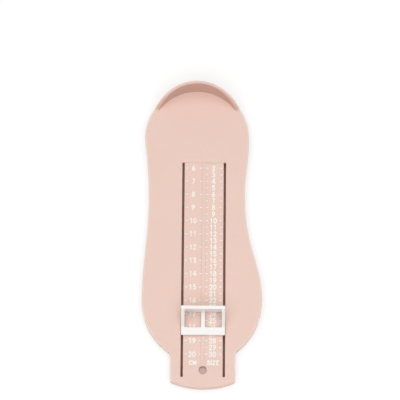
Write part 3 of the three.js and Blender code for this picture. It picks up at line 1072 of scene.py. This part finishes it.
CELL_WIDTH = {"M": 0.72, "I": 0.12}
USUAL_CELL_WIDTH = 0.6


# %% Drawing one character
def runs_of(stroke):
    """Cuts a stroke at its sharp points."""
    runs = [[stroke[0]]]
    for point in stroke[1:-1]:
        runs[-1].append(point)
        if point[2] == SHARP:
            runs.append([point])
    runs[-1].append(stroke[-1])
    return runs


def add_run(curve, run, to_place):
    """Adds a run to a curve and gives its ends, or none if it ends where it starts."""
    closed = run[0][:2] == run[-1][:2]
    points = run[:-1] if closed else run
    spline = curve.splines.new("BEZIER")
    spline.use_cyclic_u = closed
    spline.bezier_points.add(len(points) - 1)
    for knot, (x, y, kind) in zip(spline.bezier_points, points):
        knot.co = to_place @ Vector((x, y, 0))
        knot.handle_left_type = kind
        knot.handle_right_type = kind
    ends = () if closed else (points[0], points[-1])
    return [to_place @ Vector((x, y, 0)) for x, y, kind in ends]


print("the cutter stops", len(runs_of(CHARACTERS["4"][0])), "times in a 4")

# %% A stamp for each character
BEAD_RADIUS = 0.42
BEAD_LIFT = 0.05
BEAD_TOP = 0.3
BEAD_STEPS = 5
BEAD_SIDES = 2
BALL_SIDES = 12
SLIVER = 0.004

stamps = {}


def beads_of(character, width, height):
    """The beads and balls of one character, with the corner of its cell at the origin."""
    curve = bpy.data.curves.new(character, "CURVE")
    curve.dimensions = "3D"
    curve.resolution_u = BEAD_STEPS
    curve.bevel_depth = BEAD_RADIUS
    curve.bevel_resolution = BEAD_SIDES
    curve.use_fill_caps = True
    to_size = Matrix.Translation((0, 0, BEAD_LIFT)) @ Matrix.Diagonal((width, height, 1, 1))
    ends = []
    for stroke in CHARACTERS[character]:
        for run in runs_of(stroke):
            ends += add_run(curve, run, to_size)
    bm = as_bmesh(bpy.data.objects.new(character, curve))
    merged(bm, SAME_PLACE / 2)
    size = {"u_segments": BALL_SIDES, "v_segments": BALL_SIDES // 2, "radius": BEAD_RADIUS}
    for end in ends:
        bmesh.ops.create_uvsphere(bm, matrix=Matrix.Translation(end), **size)
    return plain_object(bm, character)


def stamp(character, width, height):
    """The finished mesh of a character, which is made once for each size."""
    key = (character, width, height)
    if key not in stamps:
        beads = beads_of(character, width, height)
        slab = bmesh.new()
        block(slab, -width, 2 * width, -2 * height, height, -SINK, BEAD_TOP)
        combined(beads, slab, "INTERSECT")
        bm = as_bmesh(beads)
        bmesh.ops.dissolve_degenerate(bm, dist=SLIVER, edges=bm.edges)
        stamps[key] = bpy.data.meshes.new(character)
        bm.to_mesh(stamps[key])
        bm.free()
    return stamps[key]


# %% Stamping words on the strip
def raised_words(name, words, width, height, gap):
    """One piece for a list of words, each given with its middle and its place on the scale."""
    bm = bmesh.new()
    for word, middle, at in words:
        cells = [CELL_WIDTH.get(character, USUAL_CELL_WIDTH) * width for character in word]
        left = middle - (sum(cells) + gap * (len(word) - 1)) / 2
        for character, cell in zip(word, cells):
            there = len(bm.verts)
            bm.from_mesh(stamp(character, width, height))
            bm.verts.ensure_lookup_table()
            corner = Vector((left, -at - height / 2, STRIP_TOP))
            bmesh.ops.translate(bm, vec=corner, verts=bm.verts[there:])
            left += cell + gap
    # The characters' paler colour is a painted highlight.
    finished_piece(bm, name, "base", pink_painted_highlight)


# %% Centimetres, sizes and the two signs
CM_MIDDLE = -8.0
SIZES_MIDDLE = 7.05
DIGIT_WIDTH = 3.6
DIGIT_HEIGHT = 3.5
DIGIT_GAP = 0.65
FIRST_SIZE = 2
SIGNS_AT = 206.3
SIGNS_WIDTH = 3.4
SIGNS_HEIGHT = 2.9
SIGNS_GAP = 0.75
CM_SIGN_MIDDLE = -7.4
SIZE_SIGN_MIDDLE = 7.6

centimetres = [(str(at // CENTIMETRE), CM_MIDDLE, at) for at in places(CENTIMETRE)]
raised_words("centimetre_numbers", centimetres, DIGIT_WIDTH, DIGIT_HEIGHT, DIGIT_GAP)
sizes = [(str(FIRST_SIZE + n), SIZES_MIDDLE, at) for n, at in enumerate(places(SIZE_STEP))]
raised_words("size_numbers", sizes, DIGIT_WIDTH, DIGIT_HEIGHT, DIGIT_GAP)
signs = [("CM", CM_SIGN_MIDDLE, SIGNS_AT), ("SIZE", SIZE_SIGN_MIDDLE, SIGNS_AT)]
raised_words("unit_signs", signs, SIGNS_WIDTH, SIGNS_HEIGHT, SIGNS_GAP)

# %% [markdown]
# ## A solid from its plan
# The slider and its keeper are frames: rectangles with rectangular windows. Such a shape is
# drawn quickly from above. One rectangle is cut across by planes at every width and length that
# matters, the cells that fall in a window are deleted, and what is left is lifted to a solid.
# All its faces then meet at shared corners, which is just what a clean bevel needs.

# %% Helper for plans
def plan(half_cuts, y_cuts, is_open, z):
    """A flat face between the outer cuts, divided at the inner ones, without its open cells."""
    bm = bmesh.new()
    x_cuts = [-x for x in reversed(half_cuts)] + list(half_cuts)
    width = 2 * half_cuts[-1]
    length = y_cuts[-1] - y_cuts[0]
    middle = Vector((0, -y_cuts[0] - y_cuts[-1], 2 * z)) / 2
    to_size = Matrix.Translation(middle) @ Matrix.Diagonal((width, length, 1, 1))
    bmesh.ops.create_grid(bm, x_segments=1, y_segments=1, size=0.5, matrix=to_size)
    cuts = [((x, 0, 0), (1, 0, 0)) for x in x_cuts[1:-1]]
    cuts += [((0, -y, 0), (0, 1, 0)) for y in y_cuts[1:-1]]
    for on_plane, across in cuts:
        everything = bm.verts[:] + bm.edges[:] + bm.faces[:]
        bmesh.ops.bisect_plane(bm, geom=everything, plane_co=on_plane, plane_no=across)
    middles = [(face, face.calc_center_median()) for face in bm.faces]
    windows = [face for face, centre in middles if is_open(abs(centre.x), -centre.y)]
    bmesh.ops.delete(bm, geom=windows, context="FACES")
    return bm


# %% [markdown]
# ## The toe stop
# The slider's upper part is one white moulding. It has the tall stop that touches the toes, two
# cheeks that slope down behind it, and a low bar and post that frame the two reading windows.
# From its plan it is lifted to the bar's height. Then the stop and the cheeks are lifted again,
# and the cheeks' rear ends are let down to the bar, which makes their slope.

# %% Sizes of the slider
SLIDER_HALF_WIDTH = 16.2
SLIDER_BOTTOM = 8.8
BAR_HEIGHT = 2.5
SLIDER_LENGTH = (stop_high.y - stop_low.y) / MM
STOP_TOP = stop_high.z / MM
STOP_THICKNESS = 2.6
REAR_BAR_LENGTH = 5.8
BAR_TOP = SLIDER_BOTTOM + BAR_HEIGHT
CHEEK_THICKNESS = 2.6
POST_HALF_WIDTH = 1.5
SLIDER_CORNER = 0.8
SLIDER_CORNER_STEPS = 5
SLIDER_ROUNDING = 0.4
SLIDER_TURN = math.radians(25)
ONE_PLANE = math.radians(1)
STOP_BACK = READING + STOP_THICKNESS
BAR_FRONT = READING + SLIDER_LENGTH - REAR_BAR_LENGTH
SLIDER_END = READING + SLIDER_LENGTH
CHEEK_INNER = SLIDER_HALF_WIDTH - CHEEK_THICKNESS


# %% The toe stop's upper part
def in_window(x, at):
    return POST_HALF_WIDTH < x < CHEEK_INNER and STOP_BACK < at < BAR_FRONT


def is_tall(centre):
    """True above the stop and above the cheeks."""
    at = -centre.y
    in_cheek = at < BAR_FRONT and abs(centre.x) > CHEEK_INNER
    return centre.z > BAR_TOP - NEAR and (at < STOP_BACK or in_cheek)


half_cuts = (POST_HALF_WIDTH, CHEEK_INNER, SLIDER_HALF_WIDTH)
y_cuts = (READING, STOP_BACK, BAR_FRONT, SLIDER_END)
stop = plan(half_cuts, y_cuts, in_window, SLIDER_BOTTOM)
lifted(stop, Vector((0, 0, BAR_TOP - SLIDER_BOTTOM)))
tall = [face for face in stop.faces if is_tall(face.calc_center_median())]
made = bmesh.ops.extrude_face_region(stop, geom=tall)["geom"]
bmesh.ops.delete(stop, geom=tall, context="FACES_ONLY")
for point in points_in(made):
    if -point.co.y < BAR_FRONT - NEAR:
        point.co.z = STOP_TOP
merged(stop)
print("the toe stop starts with", len(stop.faces), "faces")

# %% [markdown]
# ## Legs and snap tongues
# Two thin legs go down through the slots and guide the slider. At their lower ends four tongues
# with barbs snap through the keeper. The photograph can't show them, but the slider would lift
# off without them. Each tongue is a section of seven points, lifted to its length along the foot.
# They are joined on before anything is rounded, while all the faces are still plain.

# %% Legs and tongues, joined to the toe stop
CLEARANCE = 0.3
LEG_INNER = SLOT_INNER + CLEARANCE
LEG_OUTER = SLOT_OUTER - CLEARANCE
LEG_SETBACK = 1
LEG_FROM = READING + LEG_SETBACK
LEG_LENGTH = 15
LEG_CORNER = 0.3
TONGUE_LENGTH = 4
TONGUE_THICKNESS = 1
TONGUE_INNER = LEG_OUTER - TONGUE_THICKNESS
TONGUE_INSET = 1.5
TONGUE_STARTS = (READING + TONGUE_INSET, LEG_FROM + LEG_LENGTH - TONGUE_INSET - TONGUE_LENGTH)
BARB_REACH = 0.7
BARB_SLOPE = 0.5
BARB_HEIGHT = 1.2
BARB_BOTTOM = stop_low.z / MM
BARB_TOP = BARB_BOTTOM + BARB_HEIGHT


def tongue(side, start):
    """A snap tongue with its barb outwards."""
    bm = bmesh.new()
    section = (
        (TONGUE_INNER, BARB_BOTTOM),
        (LEG_OUTER, BARB_BOTTOM),
        (LEG_OUTER + BARB_REACH, BARB_BOTTOM + BARB_SLOPE),
        (LEG_OUTER + BARB_REACH, BARB_TOP),
        (LEG_OUTER, BARB_TOP),
        (LEG_OUTER, SLOT_BOTTOM + OVERRUN),
        (TONGUE_INNER, SLOT_BOTTOM + OVERRUN),
    )
    bm.faces.new([bm.verts.new((side * x, -start, z)) for x, z in section])
    lifted(bm, Vector((0, -TONGUE_LENGTH, 0)))
    return bm


toe_stop_solid = plain_object(stop, "toe_stop_solid")
legs = bmesh.new()
leg_top = SLIDER_BOTTOM + OVERRUN
side_blocks(legs, LEG_INNER, LEG_OUTER, LEG_FROM, LEG_FROM + LEG_LENGTH, SLOT_BOTTOM, leg_top)
rounded(legs, upright_edges(legs), LEG_CORNER, SMALL_STEPS)
combined(toe_stop_solid, legs, "UNION")
for side in (-1, 1):
    for start in TONGUE_STARTS:
        combined(toe_stop_solid, tongue(side, start), "UNION")
print("with its legs the toe stop has", len(toe_stop_solid.data.polygons), "faces")

# %% [markdown]
# ## Rounding the toe stop
# The plan's cells are first merged where they lie in one plane, but not in the lower face: round
# windows and legs that could be done in several ways, which would change from run to run. Then
# come the big roundings, on the four upright corners, and after them small ones on all the edges
# above the lower face that are still sharp. In the other order the small bevels would be cut up
# by the big ones. The lower edges stay crisp, because the legs stand close to them.

# %% Rounding the toe stop
def is_outer_corner(edge):
    """True for the four upright corners of the slider."""
    at = -edge.verts[0].co.y
    far_out = all(abs(end.co.x) > SLIDER_HALF_WIDTH - NEAR for end in edge.verts)
    level = abs(edge.verts[0].co.y - edge.verts[1].co.y) < NEAR
    return far_out and level and (at < READING + NEAR or at > SLIDER_END - NEAR)


def is_upper(edge):
    return max(end.co.z for end in edge.verts) > SLIDER_BOTTOM + NEAR


stop = as_bmesh(toe_stop_solid)
merged(stop)
bmesh.ops.recalc_face_normals(stop, faces=stop.faces)
edges = [edge for edge in stop.edges if is_upper(edge)]
ends = [point for point in stop.verts if point.co.z > SLIDER_BOTTOM + NEAR]
bmesh.ops.dissolve_limit(stop, angle_limit=ONE_PLANE, verts=ends, edges=edges)
corners = [edge for edge in upright_edges(stop) if is_outer_corner(edge)]
rounded(stop, corners, SLIDER_CORNER, SLIDER_CORNER_STEPS)
upper = [edge for edge in sharp_edges(stop, SLIDER_TURN) if is_upper(edge)]
rounded(stop, upper, SLIDER_ROUNDING, SMALL_STEPS)
toe_stop = finished_piece(stop, "toe_stop", "slider", white)
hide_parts("slider_frame")

# %% [markdown]
# ## The keeper
# Under the strip, a U-shaped plate joins the two legs and holds the slider down. Its four
# sockets are cells of its plan. It is open towards the toes, so that it can pass on both
# sides of the hang hole's boss when the stop is pulled out to the end of the scale.

# %% The keeper
SOCKET_INNER = TONGUE_INNER - CLEARANCE
SOCKET_OUTER = LEG_OUTER + CLEARANCE
KEEPER_OUTER = (keeper_high.x - middle_x) / MM
KEEPER_INNER = SOCKET_INNER - (KEEPER_OUTER - SOCKET_OUTER)
KEEPER_BAR_LENGTH = 5.5
KEEPER_BAR_TO = READING + KEEPER_BAR_LENGTH
KEEPER_ROUNDING = 0.25
KEEPER_STEPS = 2
KEEPER_TURN = math.radians(45)
KEEPER_TO = (zero_y - keeper_low.y) / MM
sockets = [(start - CLEARANCE, start + TONGUE_LENGTH + CLEARANCE) for start in TONGUE_STARTS]


def not_keeper(x, at):
    in_socket = SOCKET_INNER < x < SOCKET_OUTER and any(start < at < end for start, end in sockets)
    return in_socket or (x < KEEPER_INNER and at > KEEPER_BAR_TO)


half_cuts = (KEEPER_INNER, SOCKET_INNER, SOCKET_OUTER, KEEPER_OUTER)
y_cuts = sorted([READING, KEEPER_BAR_TO, KEEPER_TO, *sockets[0], *sockets[1]])
keeper = plan(half_cuts, y_cuts, not_keeper, keeper_low.z / MM)
lifted(keeper, Vector((0, 0, (keeper_high.z - keeper_low.z) / MM)))
bmesh.ops.recalc_face_normals(keeper, faces=keeper.faces)
rounded(keeper, sharp_edges(keeper, KEEPER_TURN), KEEPER_ROUNDING, KEEPER_STEPS)
keeper_plate = finished_piece(keeper, "keeper", "slider", white)
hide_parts("slider_keeper")

# %% [markdown]
# ## Floor
# The gauge lies on a plain white floor that runs out of sight. A brighter lamp would make the
# floor white, but would bleach the gauge. So part of what the camera sees is the floor's own
# glow, and the rest is lit and keeps the soft shadow. Reflections see the same, or gloss would
# turn grey. The slots look through to a dark floor, so a patch in the gauge's own outline lies
# there without the glow, painted pink: painted light, in the colour of the light that comes
# through pink plastic. Under the hang hole more light gets in, and a small spot with a faint pink
# glow of its own paints that pool of light.

# %% Floor, and the patch of it under the gauge, with painted light on the patch and the spot
FLOOR_SIZE = 6
FLOOR_WHITE = (0.8, 0.8, 0.8)
FLOOR_LIT_SHARE = 0.62
FLOOR_GLOW = 0.42
PAINTED_THROUGH_PINK = (0.84, 0.5, 0.4)
PAINTED_SPOT_GLOW = (0.22, 0.15, 0.135)
PATCH_INSET = 2.0
PATCH_LIFT = 0.02
DULL = 0.9
SEEN_BY = ("Is Camera Ray", "Is Glossy Ray", "Is Transmission Ray")


def stage_sheet(bm, name, colour):
    """A flat sheet of the stage and its dull finish."""
    sheet = plain_object(bm, name)
    finish = Finish(name, colour, DULL)
    finish.set("Specular IOR Level", 0)
    sheet.data.materials.append(finish.material)
    return sheet, finish


def set_glow(finish, colour):
    finish.set("Emission Color", colour)
    finish.set("Emission Strength", 1)


floor_mesh = bmesh.new()
bmesh.ops.create_grid(floor_mesh, x_segments=1, y_segments=1, size=FLOOR_SIZE / 2)
floor, floor_finish = stage_sheet(floor_mesh, "floor", FLOOR_WHITE)
rays = [floor_finish.node("ShaderNodeLightPath", {}, {}, name) for name in SEEN_BY]
shown = rays[0].maths("MAXIMUM", rays[0], rays[1].maths("MAXIMUM", rays[1], rays[2]))
lit, glow = tints((1, 1, 1), (FLOOR_LIT_SHARE, FLOOR_GLOW))
floor_finish.set("Base Color", floor_finish.mix(shown, FLOOR_WHITE, lit))
set_glow(floor_finish, floor_finish.mix(shown, (0, 0, 0), glow))

patch_mesh = outline_face(PATCH_INSET)
bmesh.ops.translate(patch_mesh, vec=(0, 0, PATCH_LIFT), verts=patch_mesh.verts)
bmesh.ops.transform(patch_mesh, matrix=TO_FRAME, verts=patch_mesh.verts)
# The patch's pink is painted light: the tint of light through pink plastic, on a white floor.
patch, patch_finish = stage_sheet(patch_mesh, "floor_patch_painted_pink", PAINTED_THROUGH_PINK)

spot_mesh = bmesh.new()
bmesh.ops.create_circle(
    spot_mesh,
    cap_ends=True,
    segments=HOLE_SIDES,
    radius=HANG_HOLE_RADIUS + HANG_BOSS_WALL,
    matrix=Matrix.Translation((0, -HANG_HOLE_AT, 2 * PATCH_LIFT)),
)
bmesh.ops.transform(spot_mesh, matrix=TO_FRAME, verts=spot_mesh.verts)
spot, spot_finish = stage_sheet(spot_mesh, "floor_spot_painted_light", FLOOR_WHITE)
# The spot's glow is a painted pool of light under the hang hole.
set_glow(spot_finish, (*PAINTED_SPOT_GLOW, 1))
print("floor of", FLOOR_SIZE, "m with a patch that doesn't glow")

# %% [markdown]
# ## Light
# The photograph has soft light from above: its shadows are faint and narrow, and lie close round
# the whole gauge. A small lamp would draw them hard and on one side only. One wide softbox
# overhead, a little towards the toes, and the even light of a white room all round give both
# the faint shadow and the soft shade in the heel cup and behind the toe stop. In the heel cup,
# painted shade in the pink deepens it.

# %% Light
LAMP_SIZE = 1.8
LAMP_FROM = Vector((-0.03, -0.15, 1.2))
LAMP_POWER = 13.7
ROOM_LIGHT = 0.45

lamp_data = bpy.data.lights.new("softbox", "AREA")
lamp_data.shape = "SQUARE"
lamp_data.size = LAMP_SIZE
lamp_data.energy = LAMP_POWER
lamp = bpy.data.objects.new("softbox", lamp_data)
lamp.location = LAMP_FROM
lamp.rotation_euler = (-LAMP_FROM).to_track_quat("-Z", "Y").to_euler()
bpy.context.scene.collection.objects.link(lamp)

world = bpy.data.worlds.new("room")
world.use_nodes = True
bpy.context.scene.world = world
background = world.node_tree.nodes["Background"]
path = world.node_tree.nodes.new("ShaderNodeLightPath")
camera_ray = Value(world.node_tree, path.outputs["Is Camera Ray"])
strength = ROOM_LIGHT + camera_ray * (1 - ROOM_LIGHT)
background.inputs["Color"].default_value = (1, 1, 1, 1)
feed(world.node_tree, background.inputs["Strength"], strength)
print("lamp of", LAMP_POWER, "W, room light", ROOM_LIGHT)

# %% [markdown]
# The Standard view shows a colour as it is written.

# %% Closing
bpy.context.scene.view_settings.view_transform = "Standard"
